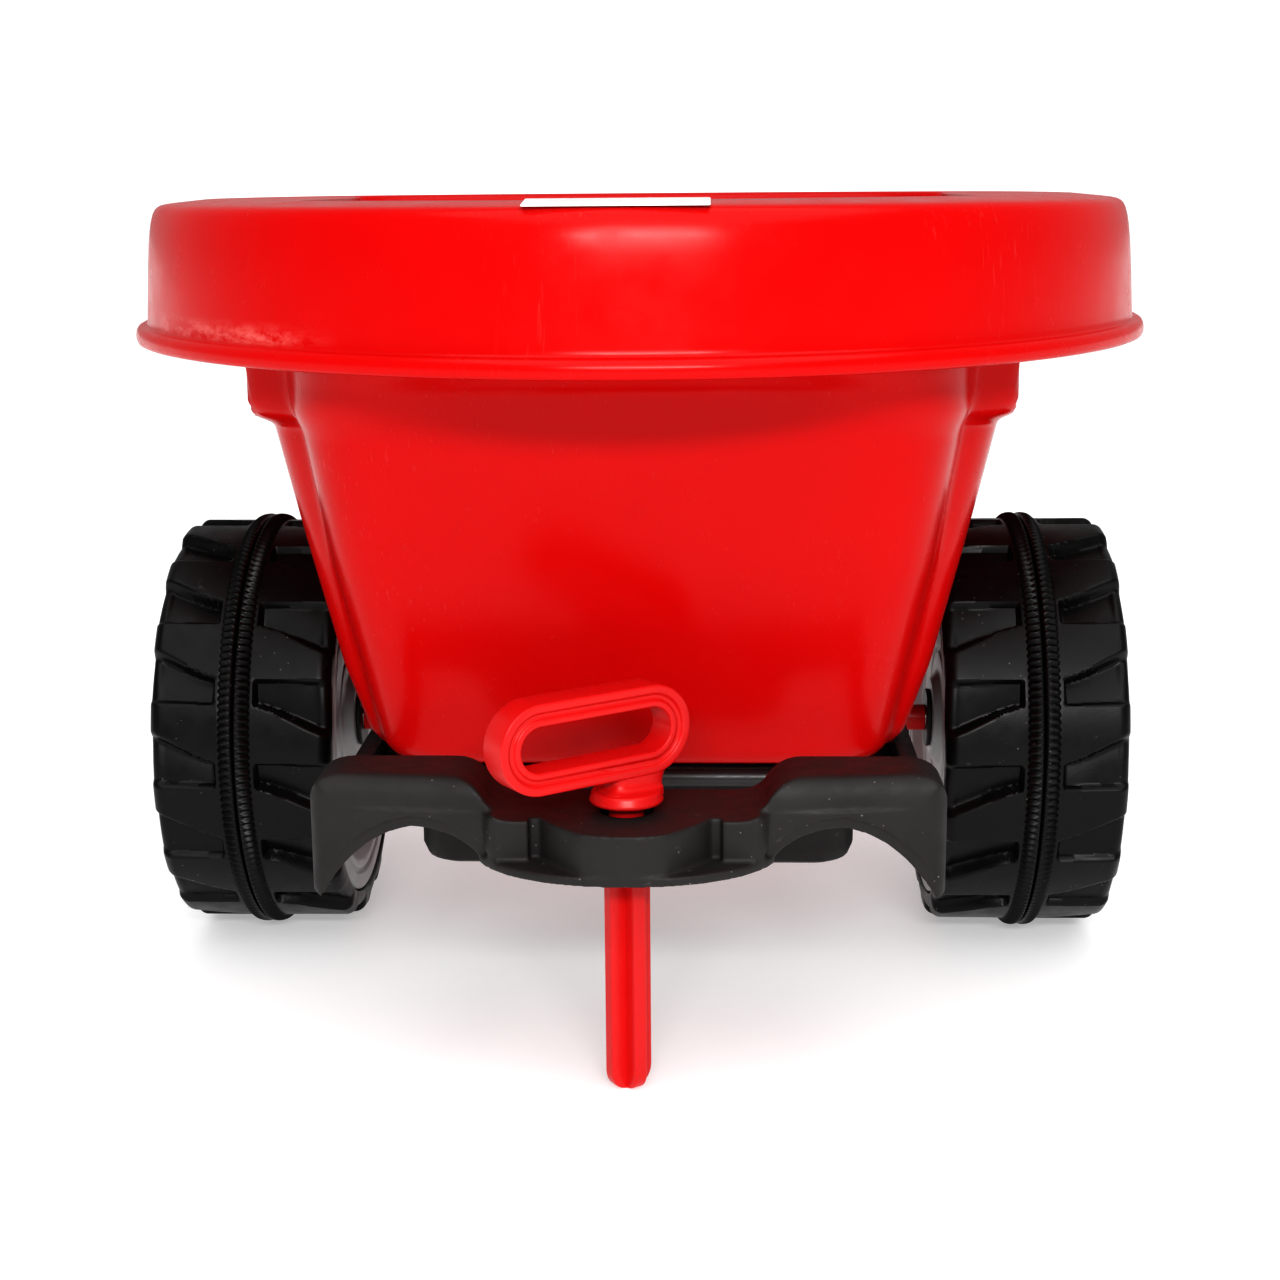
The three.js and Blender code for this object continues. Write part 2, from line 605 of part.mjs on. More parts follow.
for (const [name, side] of SIDES) {
  RAIL_SCREW_Y.forEach((y, i) => {
    addScrew(`rail_screw_${name}_${i + 1}`, 9.6, side * (RAIL.inner - GAP), y, RAIL_SCREW_Z, -side);
  });
  bracketScrewSpots(side).forEach(([x, y], i) => {
    const low = TUB.floor - GAP * 2 - BRACKET.footThickness;
    addScrew(`bracket_screw_${name}_${i + 1}`, 5.4, x, y, low, 0);
  });
  EAR_SCREW_Y.forEach((y, i) => {
    addScrew(`ear_screw_${name}_${i + 1}`, 16, side * (RAIL.outer + GAP), y, EAR_SCREW_Z, side);
  });
}

export default trailer;
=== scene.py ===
"""Looks of a child's tow-behind tipping trailer: fine meshes and materials round the CAD frame."""

import json
from math import cos, pi, radians, sin, sqrt

import bmesh
import bpy
import numpy as np
from mathutils import Matrix, Vector


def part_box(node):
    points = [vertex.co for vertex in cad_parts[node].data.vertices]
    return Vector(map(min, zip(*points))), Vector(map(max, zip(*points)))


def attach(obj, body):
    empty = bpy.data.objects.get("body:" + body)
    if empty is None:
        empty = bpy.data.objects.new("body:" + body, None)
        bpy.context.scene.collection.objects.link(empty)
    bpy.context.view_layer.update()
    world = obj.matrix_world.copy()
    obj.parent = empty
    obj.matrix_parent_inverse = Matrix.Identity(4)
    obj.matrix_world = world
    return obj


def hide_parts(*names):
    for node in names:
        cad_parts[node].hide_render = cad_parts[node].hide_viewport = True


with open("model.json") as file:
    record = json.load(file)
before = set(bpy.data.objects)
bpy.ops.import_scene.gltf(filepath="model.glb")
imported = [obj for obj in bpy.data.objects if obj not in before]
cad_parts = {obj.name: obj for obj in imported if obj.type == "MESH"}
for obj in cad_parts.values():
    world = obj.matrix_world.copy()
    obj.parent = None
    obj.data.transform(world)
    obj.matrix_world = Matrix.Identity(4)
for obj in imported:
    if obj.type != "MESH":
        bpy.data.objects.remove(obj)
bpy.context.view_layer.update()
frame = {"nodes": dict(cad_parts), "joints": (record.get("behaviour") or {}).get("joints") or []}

MM = 0.001
SIDES = (("left", -1), ("right", 1))
JOINTS = {joint["name"]: joint for joint in frame["joints"]}
AXLE_Y = JOINTS["tub_tip"]["pos_m"][1] / MM
AXLE_Z = JOINTS["tub_tip"]["pos_m"][2] / MM
RING_X = JOINTS["wheel_right_spin"]["pos_m"][0] / MM


# ---------------------------------------------------------------- mesh helpers
# Points are in millimetres, with y counted from the axle.

def to_frame(points):
    """Working points in millimetres, y counted from the axle, as metres in the frame."""
    array = np.asarray(points, float).reshape(-1, 3)
    return (array + (0, AXLE_Y, 0)) * MM


def new_object(name, points, faces, material, sharp=35):
    mesh = bpy.data.meshes.new(name)
    mesh.from_pydata(to_frame(points).tolist(), [], [tuple(face) for face in faces])
    mesh.validate()
    piece = bpy.data.objects.new(name, mesh)
    bpy.context.scene.collection.objects.link(piece)
    finish_mesh(piece, material, sharp)
    return piece


def finish_mesh(piece, material, sharp=35):
    """Outward faces, smooth shading with edges sharper than the angle kept crisp, and a material."""
    work = bmesh.new()
    work.from_mesh(piece.data)
    bmesh.ops.recalc_face_normals(work, faces=work.faces)
    work.to_mesh(piece.data)
    work.free()
    piece.data.shade_smooth()
    if sharp < 180:
        piece.data.set_sharp_from_angle(angle=radians(sharp))
    piece.data.materials.clear()
    piece.data.materials.append(material)


def band_faces(count, rings, start=0, wrap=False):
    """Quads between neighbouring closed rings of the same number of points."""
    faces = []
    for ring in range(rings if wrap else rings - 1):
        low = start + ring * count
        high = start + ((ring + 1) % rings) * count
        for i in range(count):
            j = (i + 1) % count
            faces.append((low + i, low + j, high + j, high + i))
    return faces


def loft(rings, wrap=False):
    """Points and faces of a skin over closed rings, with flat ends unless the rings wrap round."""
    count = len(rings[0])
    points = np.concatenate([np.asarray(ring, float) for ring in rings])
    faces = band_faces(count, len(rings), wrap=wrap)
    if not wrap:
        faces.append(tuple(range(count - 1, -1, -1)))
        faces.append(tuple(range(len(points) - count, len(points))))
    return points, faces


def merged(*parts):
    """Several (points, faces) as one."""
    points, faces, start = [], [], 0
    for some_points, some_faces in parts:
        points.append(np.asarray(some_points, float))
        faces.extend(tuple(i + start for i in face) for face in some_faces)
        start += len(some_points)
    return np.concatenate(points), faces


def turned_x(profile, x, side, steps=96, z=AXLE_Z):
    """A body of revolution round the axle from a closed profile of (radius, distance from x)."""
    angles = np.arange(steps) / steps * 2 * pi
    rings = []
    for radius, along in profile:
        ring = [(x + side * along, radius * cos(a), z + radius * sin(a)) for a in angles]
        rings.append(ring)
    return loft(rings, wrap=True)


def turned_z(profile, x, y, steps=64):
    """A body of revolution round an upright axis from a profile of (radius, z), with flat ends."""
    angles = np.arange(steps) / steps * 2 * pi
    rings = [[(x + radius * cos(a), y + radius * sin(a), z) for a in angles] for radius, z in profile]
    return loft(rings)


def rounded(profile, radius=0.8, steps=4):
    """A closed profile with its corners turned into small arcs."""
    result = []
    count = len(profile)
    for i, corner in enumerate(profile):
        here = np.array(corner, float)
        back = np.array(profile[i - 1], float) - here
        ahead = np.array(profile[(i + 1) % count], float) - here
        reach = min(radius, np.linalg.norm(back) * 0.45, np.linalg.norm(ahead) * 0.45)
        start = here + back / np.linalg.norm(back) * reach
        end = here + ahead / np.linalg.norm(ahead) * reach
        for k in range(steps + 1):
            t = k / steps
            result.append(tuple((1 - t) ** 2 * start + 2 * t * (1 - t) * here + t * t * end))
    return result


def smooth_step(low, high, value):
    t = np.clip((value - low) / (high - low), 0, 1)
    return t * t * (3 - 2 * t)


def place(piece, body, slot, *nodes):
    """Says which body a piece rides on and hides the CAD nodes that it stands for; slot is not used."""
    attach(piece, body)
    if nodes:
        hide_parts(*nodes)
    return piece


# ---------------------------------------------------------------- materials

class Graph:
    """A material's node tree, with short calls for the nodes used here."""

    def __init__(self, name):
        self.material = bpy.data.materials.new(name)
        self.material.use_nodes = True
        self.tree = self.material.node_tree
        self.shader = self.tree.nodes["Principled BSDF"]
        self.coords = self.tree.nodes.new("ShaderNodeTexCoord").outputs["Object"]

    def link(self, source, target):
        self.tree.links.new(source, target)

    def stretched(self, scale):
        mapping = self.tree.nodes.new("ShaderNodeMapping")
        mapping.inputs["Scale"].default_value = scale
        self.link(self.coords, mapping.inputs["Vector"])
        return mapping.outputs["Vector"]

    def noise(self, scale, detail=4, roughness=0.55, vector=None):
        node = self.tree.nodes.new("ShaderNodeTexNoise")
        node.inputs["Scale"].default_value = scale
        node.inputs["Detail"].default_value = detail
        node.inputs["Roughness"].default_value = roughness
        self.link(vector or self.coords, node.inputs["Vector"])
        return node.outputs["Fac"]

    def specks(self, scale, size):
        node = self.tree.nodes.new("ShaderNodeTexVoronoi")
        node.inputs["Scale"].default_value = scale
        self.link(self.coords, node.inputs["Vector"])
        return self.ramp(node.outputs["Distance"], ((0, 1), (size, 0)))

    def ramp(self, value, stops):
        """Maps a value through grey stops of (position, level)."""
        node = self.tree.nodes.new("ShaderNodeValToRGB")
        elements = node.color_ramp.elements
        while len(elements) < len(stops):
            elements.new(0.5)
        for element, (position, level) in zip(elements, stops):
            element.position = position
            element.color = (level, level, level, 1)
        self.link(value, node.inputs["Fac"])
        return node.outputs["Color"]

    def axis(self, letter):
        """One of the object's own coordinates, in metres."""
        node = self.tree.nodes.new("ShaderNodeSeparateXYZ")
        self.link(self.coords, node.inputs["Vector"])
        return node.outputs[letter]

    def span(self, value, start, end):
        """Rises smoothly from 0 at start to 1 at end, whichever is the larger."""
        node = self.tree.nodes.new("ShaderNodeMapRange")
        node.interpolation_type = "SMOOTHSTEP"
        node.inputs["From Min"].default_value = start
        node.inputs["From Max"].default_value = end
        self.link(value, node.inputs["Value"])
        return node.outputs["Result"]

    def math(self, operation, a, b):
        node = self.tree.nodes.new("ShaderNodeMath")
        node.operation = operation
        for socket, value in zip(node.inputs, (a, b)):
            if isinstance(value, (int, float)):
                socket.default_value = value
            else:
                self.link(value, socket)
        return node.outputs["Value"]

    def mix(self, factor, a, b):
        node = self.tree.nodes.new("ShaderNodeMix")
        node.data_type = "RGBA"
        self.link(factor, node.inputs["Factor"])
        for socket, colour in ((node.inputs[6], a), (node.inputs[7], b)):
            if isinstance(colour, tuple):
                socket.default_value = (*colour, 1)
            else:
                self.link(colour, socket)
        return node.outputs[2]

    def bump(self, height, distance, strength=1.0):
        node = self.tree.nodes.new("ShaderNodeBump")
        node.inputs["Strength"].default_value = strength
        node.inputs["Distance"].default_value = distance
        self.link(height, node.inputs["Height"])
        self.link(node.outputs["Normal"], self.shader.inputs["Normal"])

    def colour(self, source):
        self.link(source, self.shader.inputs["Base Color"])

    def roughness(self, source):
        self.link(source, self.shader.inputs["Roughness"])

    def uniform(self, **values):
        for name, value in values.items():
            self.shader.inputs[name.replace("_", " ")].default_value = value


def tub_plastic():
    """Glossy red moulded plastic: fine upright scratches, and a whitened scuff low on the front left rim."""
    g = Graph("red_tub_plastic")
    base = g.mix(g.noise(9, 3), (0.55, 0.002, 0.0024), (0.62, 0.0034, 0.0038))
    streaks = g.ramp(g.noise(1, 5, 0.6, g.stretched((700, 700, 30))), ((0.6, 0), (0.72, 1)))
    patches = g.ramp(g.noise(14, 3), ((0.46, 0), (0.66, 1)))
    scratches = g.math("MULTIPLY", streaks, patches)
    across, depth, height = g.axis("X"), g.axis("Y"), g.axis("Z")
    foot = g.math("MULTIPLY", g.span(height, 0.2965, 0.2985), g.span(height, 0.307, 0.299))
    left = g.math("MULTIPLY", g.span(across, -0.198, -0.19), g.span(across, -0.1, -0.14))
    in_front = g.span(depth, -0.05, -0.1)
    rubbed = g.ramp(g.noise(1, 6, 0.7, g.stretched((90, 90, 240))), ((0.4, 0), (0.64, 1)))
    scuffs = g.math("MULTIPLY", g.math("MULTIPLY", foot, g.math("MULTIPLY", left, in_front)), rubbed)
    worn = g.math("MAXIMUM", g.math("MULTIPLY", scratches, 0.1), g.math("MULTIPLY", scuffs, 0.5))
    g.colour(g.mix(worn, base, (0.9, 0.3, 0.27)))
    g.roughness(g.ramp(g.noise(70, 4), ((0.3, 0.2), (0.75, 0.29))))
    relief = g.math("ADD", g.math("MULTIPLY", g.noise(120, 2), 0.5), g.math("MULTIPLY", scratches, -0.5))
    g.bump(relief, 0.00005, 0.4)
    g.uniform(Specular_IOR_Level=0.18)
    return g.material


def pin_plastic():
    """Satin red moulded plastic, a little lighter than the tub."""
    g = Graph("red_pin_plastic")
    base = g.mix(g.noise(30, 4), (0.6, 0.009, 0.01), (0.68, 0.015, 0.015))
    marks = g.ramp(g.noise(1, 6, 0.6, g.stretched((300, 300, 60))), ((0.68, 0), (0.78, 0.35)))
    g.colour(g.mix(marks, base, (0.9, 0.25, 0.22)))
    g.roughness(g.ramp(g.noise(140, 4), ((0.3, 0.28), (0.7, 0.42))))
    g.bump(g.noise(900, 3), 0.00005, 0.5)
    g.uniform(Specular_IOR_Level=0.35)
    return g.material


def black_plastic(name, dark, light, gloss, grain, speck_level):
    """Black moulded plastic: fine grain, uneven sheen between two roughness values, and specks of dust."""
    g = Graph(name)
    base = g.mix(g.noise(45, 5), dark, light)
    dust = g.math("MULTIPLY", g.specks(210, 0.09), g.ramp(g.noise(30, 3), ((0.46, 0), (0.6, speck_level))))
    rubbed = g.ramp(g.noise(1, 7, 0.65, g.stretched((160, 70, 160))), ((0.66, 0), (0.85, 0.18)))
    g.colour(g.mix(g.math("MAXIMUM", dust, rubbed), base, (0.42, 0.4, 0.38)))
    g.roughness(g.ramp(g.noise(110, 5), ((0.3, gloss[0]), (0.7, gloss[1]))))
    g.bump(g.noise(1500, 3), grain, 0.6)
    g.uniform(Specular_IOR_Level=0.27)
    return g.material


def grey_plastic():
    """Satin grey moulded plastic with patches of grime."""
    g = Graph("grey_disc_plastic")
    base = g.mix(g.noise(38, 5), (0.36, 0.37, 0.372), (0.44, 0.452, 0.455))
    grime = g.ramp(g.noise(90, 6, 0.7), ((0.62, 0), (0.8, 0.45)))
    g.colour(g.mix(grime, base, (0.1, 0.098, 0.095)))
    g.roughness(g.ramp(g.noise(120, 4), ((0.3, 0.36), (0.7, 0.5))))
    g.bump(g.noise(1100, 3), 0.00005, 0.5)
    return g.material


def plated_steel():
    """Zinc plated steel with a soft spangle and light tarnish."""
    g = Graph("zinc_plated_steel")
    base = g.mix(g.noise(220, 3), (0.5, 0.505, 0.51), (0.66, 0.665, 0.66))
    tarnish = g.ramp(g.noise(60, 5), ((0.55, 0), (0.75, 0.5)))
    g.colour(g.mix(tarnish, base, (0.3, 0.27, 0.23)))
    g.roughness(g.ramp(g.noise(300, 4), ((0.3, 0.24), (0.7, 0.42))))
    g.bump(g.noise(1400, 2), 0.00003, 0.5)
    g.uniform(Metallic=1.0)
    return g.material


def painted_steel():
    """Black painted steel with a thin wavy gloss."""
    g = Graph("black_painted_steel")
    g.colour(g.mix(g.noise(60, 4), (0.016, 0.016, 0.017), (0.035, 0.034, 0.034)))
    g.roughness(g.ramp(g.noise(150, 4), ((0.3, 0.3), (0.7, 0.46))))
    g.bump(g.noise(600, 3), 0.00006, 0.5)
    return g.material


def sticker():
    """A blank white sticker, slightly yellowed in places."""
    g = Graph("white_sticker")
    g.colour(g.mix(g.noise(70, 4), (0.8, 0.8, 0.79), (0.9, 0.9, 0.89)))
    g.roughness(g.ramp(g.noise(160, 3), ((0.3, 0.28), (0.7, 0.4))))
    g.bump(g.noise(700, 2), 0.00003, 0.4)
    return g.material


RED_TUB = tub_plastic()
RED_PIN = pin_plastic()
BLACK_TREAD = black_plastic("black_tread_plastic", (0.0022, 0.0022, 0.0023), (0.0046, 0.0044, 0.0043),
                            gloss=(0.3, 0.44), grain=0.00007, speck_level=0.6)
BLACK_CHASSIS = black_plastic("charcoal_plastic", (0.02, 0.0188, 0.0182), (0.034, 0.032, 0.031),
                              gloss=(0.42, 0.58), grain=0.0001, speck_level=0.95)
GREY_DISC = grey_plastic()
ZINC = plated_steel()
BLACK_STEEL = painted_steel()
STICKER = sticker()


# ---------------------------------------------------------------- tub

RIM = dict(half=229, front=257, rear=237, front_power=1.95, rear_power=3)
FLOOR_Z = 113
FLOOR_TOP = 117
WALL = 3
ARCH = dict(radius=103, x=134.8, edge=7, depth=24)
SHOULDER_Z = 250
RIM_Z = 342

# Each level is z, half width, front, rear, front squareness, rear squareness.
BODY_LEVELS = np.array((
    (113, 112, 106, 108, 9, 7), (117, 120, 112, 113, 9, 7),
    (150, 131, 117, 126, 9, 7), (200, 144, 122, 144, 8, 7),
    (257, 158, 127, 161, 7, 7), (259, 162, 129, 164, 7, 6), (261.5, 168.5, 131, 168, 8, 6),
    (265, 173.5, 133.5, 171, 8, 6), (271, 176.5, 136, 173, 8, 6), (300, 178, 144, 176, 7, 5),
    (328, 183, 186, 188, 3, 3.6), (349.5, 195.6, 223.6, 203.6, 1.95, 3),
))
NOSE_LEVELS = np.array((
    (113, 108, 126, 60, 9, 6), (118, 112, 132, 62, 9, 6),
    (200, 129, 156, 64, 8, 6), (277, 141, 177, 66, 7, 6),
    (290, 145, 190, 67, 5, 6), (306, 150, 207, 68, 3.4, 6), (348.9, 157, 219, 70, 2.4, 6),
))
PLAN_STEPS = 320
THETA = np.arange(PLAN_STEPS) / PLAN_STEPS * 2 * pi


def plan_radius(half, front, rear, front_power, rear_power):
    """Polar radius of the plan outline, a superellipse with its own front and rear, at every THETA."""
    c, s = np.cos(THETA), np.sin(THETA)
    depth = np.where(s < 0, front, rear)
    power = np.where(s < 0, front_power, rear_power)
    return (np.abs(c / half) ** power + np.abs(s / depth) ** power) ** (-1 / power)


def at_height(levels, z):
    return [np.interp(z, levels[:, 0], levels[:, k]) for k in range(1, 6)]


def softened(levels, z, reach=2.2):
    """The plan radius at a height, averaged over a few millimetres so that the wall has no hard creases."""
    offsets = np.linspace(-reach, reach, 5)
    return np.mean([plan_radius(*at_height(levels, z + offset)) for offset in offsets], axis=0)


def wheel_recess(radius, z, grow=0.0):
    """The wall drawn in where a wheel needs room, with a soft edge."""
    for _ in range(2):
        y = radius * np.sin(THETA)
        outside = np.sqrt(y ** 2 + (z - AXLE_Z) ** 2) - ARCH["radius"] - grow
        limit = ARCH["x"] - grow + ARCH["depth"] * smooth_step(0, ARCH["edge"], outside)
        radius = np.minimum(radius, limit / np.maximum(np.abs(np.cos(THETA)), 1e-6))
    return radius


def nose_radius(z):
    """The nose flares out under the rim, lower at its corners than in the middle."""
    corner_drop, drop_from, drop_full = 12, 255, 268
    middle_x, corner_x = 45, 120
    level = softened(NOSE_LEVELS, z)
    if z <= drop_from:
        return level
    early = softened(NOSE_LEVELS, min(z + corner_drop, NOSE_LEVELS[-1, 0]))
    sideways = smooth_step(middle_x, corner_x, np.abs(level * np.cos(THETA)))
    corner = sideways * smooth_step(drop_from, drop_full, z)
    return level + (early - level) * corner


def body_radius(z, inner=False):
    """The wall at a height: body and nose joined by a small fillet, drawn in at the wheels."""
    body = softened(BODY_LEVELS, z)
    nose = nose_radius(z)
    blend = 2.5
    both = 0.5 * (body + nose + np.sqrt((body - nose) ** 2 + blend ** 2))
    wall = WALL if inner else 0
    return wheel_recess(both - wall, z, wall)


def ring_at(radius, z):
    return np.stack([radius * np.cos(THETA), radius * np.sin(THETA), np.full_like(THETA, z)], axis=1)


def rim_radius(offset):
    return plan_radius(RIM["half"] + offset, RIM["front"] + offset, RIM["rear"] + offset,
                       RIM["front_power"], RIM["rear_power"])


# Rim section from the inner edge of the sloping flat, over the skirt and lip, and back up inside:
# (offset out from the lip, height).
RIM_SECTION = (
    (-34.5, 349.6), (-33, 350), (-27, 349.4), (-20.5, 348.75), (-16, 348.2), (-13.8, 347.7), (-12.2, 346.9),
    (-11, 345.7), (-10.1, 344), (-9.2, 341), (-8.4, 337), (-7.6, 331), (-6.9, 323), (-6.2, 313), (-5.6, 304),
    (-5.3, 299.4), (-5.1, 297.6), (-4.7, 296.7), (-3.9, 296.4), (-2.4, 296.3), (-1.1, 295.6), (-0.3, 294.2),
    (0, 292.4), (-0.1, 290.6), (-0.7, 289.3), (-1.9, 288.8), (-3.3, 289.2), (-4.8, 290.6), (-6.6, 293),
    (-8, 296.5), (-8.6, 301), (-9.9, 318), (-11.4, 335), (-12.6, 341), (-14.6, 344), (-17.5, 345.2),
    (-23, 345.8), (-29, 346.3),
)


def make_tub():
    """One skin: up the inside from the middle of the floor, over the rim, and down the outside."""
    floor_shares = (0.02, 0.35, 0.7, 0.9, 0.97)
    inner_floor = body_radius(FLOOR_TOP + 4, inner=True)
    rings = [ring_at(inner_floor * share, FLOOR_TOP) for share in floor_shares]
    rings.append(ring_at(inner_floor * 0.992, FLOOR_TOP + 0.8))
    inner_heights = np.concatenate([np.linspace(FLOOR_TOP + 3, SHOULDER_Z, 40),
                                    np.linspace(SHOULDER_Z + 1.5, RIM_Z, 56)])
    rings += [ring_at(body_radius(z, inner=True), z) for z in inner_heights]
    for wall_z, out, z in ((345.5, 0.3, 346.4), (348, 0.9, 348.8)):
        rings.append(ring_at(body_radius(wall_z, inner=True) + out, z))
    rings += [ring_at(rim_radius(offset), z) for offset, z in RIM_SECTION]
    outer_heights = np.concatenate([np.linspace(RIM_Z + 1, SHOULDER_Z + 1, 62),
                                    np.linspace(SHOULDER_Z - 1.5, FLOOR_Z + 4, 46)])
    rings += [ring_at(body_radius(z), z) for z in outer_heights]
    low = body_radius(FLOOR_Z + 3)
    rings.append(ring_at(low * 0.992, FLOOR_Z + 1.6))
    rings.append(ring_at(low * 0.975, FLOOR_Z + 0.4))
    rings += [ring_at(low * share, FLOOR_Z) for share in reversed(floor_shares[:-1])]
    points, faces = loft(rings)
    return new_object("tub_shell", points, faces, RED_TUB, sharp=60)


place(make_tub(), "tub", "red_tub", "tub")


REST = dict(x=88, y=-116, low=109, half_x=3, half_y=8)


def rectangle(half_x, half_y):
    return [(-half_x, -half_y), (half_x, -half_y), (half_x, half_y), (-half_x, half_y)]


def make_rest(name, side):
    """One of the two feet that the tub stands on the cross bar with."""
    low, high = REST["low"], FLOOR_Z + 1
    rings = []
    for z, shrink in ((low, 1.2), (low + 0.8, 0.3), (low + 1.6, 0), (high, 0)):
        corners = rectangle(REST["half_x"] - shrink, REST["half_y"] - shrink)
        rings.append([(side * REST["x"] + x, REST["y"] + y, z) for x, y in corners])
    return new_object(name, *loft(rings), RED_TUB)


for side_name, side in SIDES:
    place(make_rest(f"tub_rest_{side_name}", side), "tub", "red_tub")


def make_label():
    """A thin sticker with rounded corners on the sloping flat of the rim."""
    flat_low, flat_high = 348, 350
    flat_outer, flat_inner = 13.5, 34
    seat_y, half_x, half_y, clearance = -235, 33, 10, 0.3
    slope = (flat_high - flat_low) / (flat_inner - flat_outer)
    seat_z = flat_low + slope * (seat_y + RIM["front"] - flat_outer) + clearance
    outline = rounded(rectangle(half_x, half_y), 1.2, 4)
    rings = []
    for z, share in ((-0.1, 1.0), (0.35, 1.0), (0.5, 0.995)):
        rings.append([(x * share, seat_y + y * share, seat_z + z + slope * y) for x, y in outline])
    return new_object("blank_label", *loft(rings), STICKER)


place(make_label(), "tub", "label", "tub_label")


# ---------------------------------------------------------------- wheels

LUGS = 16
LUG_STEPS = 48
TREAD_RADIUS = 97
RECESS_DEPTH = 5.6
SHOULDER = 5.5
CREST_TEETH = 184
CREST_WIDTH = 7.2
# Each point is the distance from the ring plane, the radius, and the share of the tooth depth cut there.
CREST_SECTION = (
    (0.25, 93, 0), (0.25, 98, 0), (0.55, 99.1, 0), (1.3, 99.8, 0.25), (2.4, 100, 0.7), (3.8, 99.9, 1.0),
    (5.2, 99.5, 1.0), (6.4, 98.6, 1.0), (7.2, 97.4, 0.7), (7.6, 95.6, 0.1), (7.6, 93, 0),
)
# towards is the way from the ring plane, inwards or outwards, and turn mirrors the recesses.
HALVES = {
    "inner": dict(towards=-1, width=42.5, turn=1, phase=0.1),
    "outer": dict(towards=1, width=38.5, turn=-1, phase=0.2),
}


def tread_surface(width, turn, phase):
    """Outer surface of one half tyre: recesses with one straight and one slanted edge between the lugs."""
    steps = LUGS * LUG_STEPS
    share = (np.arange(steps) / LUG_STEPS * turn + phase) % 1.0
    angles = np.arange(steps) / steps * 2 * pi
    rows = np.concatenate([np.linspace(CREST_WIDTH, 12.6, 10), np.linspace(13.6, width - 6, 16),
                           np.linspace(width - 5.2, width, 9)])
    surface = []
    for u in rows:
        open_share = 0.32 + 0.42 * smooth_step(6, width + 8, u)
        t = share / open_share
        straight_wall = smooth_step(0, 0.1, t)
        slanted_wall = 1 - smooth_step(0.85, 1.0, t)
        floor = 0.5 + 0.5 * np.clip(t / 0.8, 0, 1)
        depth = RECESS_DEPTH * straight_wall * slanted_wall * floor * smooth_step(8.4, 10.4, u)
        drop = max(0.0, u - (width - SHOULDER))
        shoulder = SHOULDER - sqrt(max(SHOULDER ** 2 - drop ** 2, 0.0))
        radius = TREAD_RADIUS - depth * (1 - 0.4 * drop / SHOULDER) - shoulder
        surface.append((u, radius))
    return angles, surface


def make_tread(ring_x, direction, width, turn, phase):
    """A half tyre from the ring plane outwards: its treaded outside and its plain inside."""
    angles, surface = tread_surface(width, turn, phase)
    cos_a, sin_a = np.cos(angles), np.sin(angles)
    flat = np.ones_like(angles)
    inside = [(width + 0.3, 87.4), (width + 0.1, 86.4), (width - 0.8, 85.6), (width - 2.5, 85.2),
              (width - 7, 85.3), (6, 85.6), (3.6, 86.4), (3.4, 95), (5.2, 96.6)]
    rings = []
    for u, radius in surface + [(u, radius * flat) for u, radius in inside]:
        ring = np.stack([ring_x + direction * u * flat, radius * cos_a, AXLE_Z + radius * sin_a], axis=1)
        rings.append(ring)
    return loft(rings, wrap=True)


def make_crest(ring_x, direction):
    """Half of the raised ring round the tyre, its flank cut with fine teeth."""
    steps = CREST_TEETH * 6
    angles = np.arange(steps) / steps * 2 * pi
    teeth = 0.5 - 0.5 * np.cos(angles * CREST_TEETH)
    tooth_depth, tooth_slant = 1.35, 0.35
    rings = []
    for u, radius, cut_share in CREST_SECTION:
        cut = teeth * cut_share * tooth_depth
        along = ring_x + direction * (u - cut * tooth_slant)
        r = radius - cut
        rings.append(np.stack([along, r * np.cos(angles), AXLE_Z + r * np.sin(angles)], axis=1))
    return loft(rings, wrap=True)


def disc_profile(width):
    """Closed section of a wheel disc as (radius, distance from the ring plane)."""
    face = width - 6
    return rounded([
        (9.9, 0.2), (17, 0.2), (17, face - 3.5), (66, face - 3.5), (70, width - 10), (80, width - 10),
        (84.6, width - 4), (84.6, width - 1.0), (83, width - 0.4), (77.5, width - 0.4), (76.5, width - 2.4),
        (75, width - 2.4), (74, width - 0.6), (71, width - 0.8), (67.5, face), (58, face), (57.2, face - 1.4),
        (55.6, face - 1.4), (54.8, face), (35, face), (34.2, face - 1.4), (32.6, face - 1.4), (31.8, face),
        (24, face), (20, width - 3), (19, width - 2.2), (9.9, width - 2.2),
    ], 1.1, 3)


def bush_profile(width):
    """Closed section of a flanged hub bush."""
    bore, barrel, flange = 5.45, 9.6, 14
    start, step = width - 16, width - 2
    return rounded([(bore, start), (barrel, start), (barrel, step), (flange, step), (flange, width),
                    (bore, width)], 0.6, 3)


def make_half_wheel(body, half, side):
    """The tyre half, disc and bush on one side of a wheel's ring."""
    sizes = HALVES[half]
    width = sizes["width"]
    ring_x = side * RING_X
    direction = side * sizes["towards"]
    tread = make_tread(ring_x, direction, width, sizes["turn"], sizes["phase"])
    tyre = merged(tread, make_crest(ring_x, direction))
    piece = new_object(f"{body}_tyre_{half}", *tyre, BLACK_TREAD, sharp=40)
    place(piece, body, "black_tread", f"{body}_tread_{half}")
    disc_shape = turned_x(disc_profile(width), ring_x, direction, 128)
    disc = new_object(f"{body}_disc_face_{half}", *disc_shape, GREY_DISC)
    place(disc, body, "grey_disc", f"{body}_disc_{half}")
    bush_shape = turned_x(bush_profile(width), ring_x, direction, 64)
    bush = new_object(f"{body}_hub_bush_{half}", *bush_shape, BLACK_CHASSIS)
    place(bush, body, "black_chassis", f"{body}_bush_{half}")


for side_name, side in SIDES:
    for half in HALVES:
        make_half_wheel(f"wheel_{side_name}", half, side)


# ---------------------------------------------------------------- axle, sleeves, washers and caps

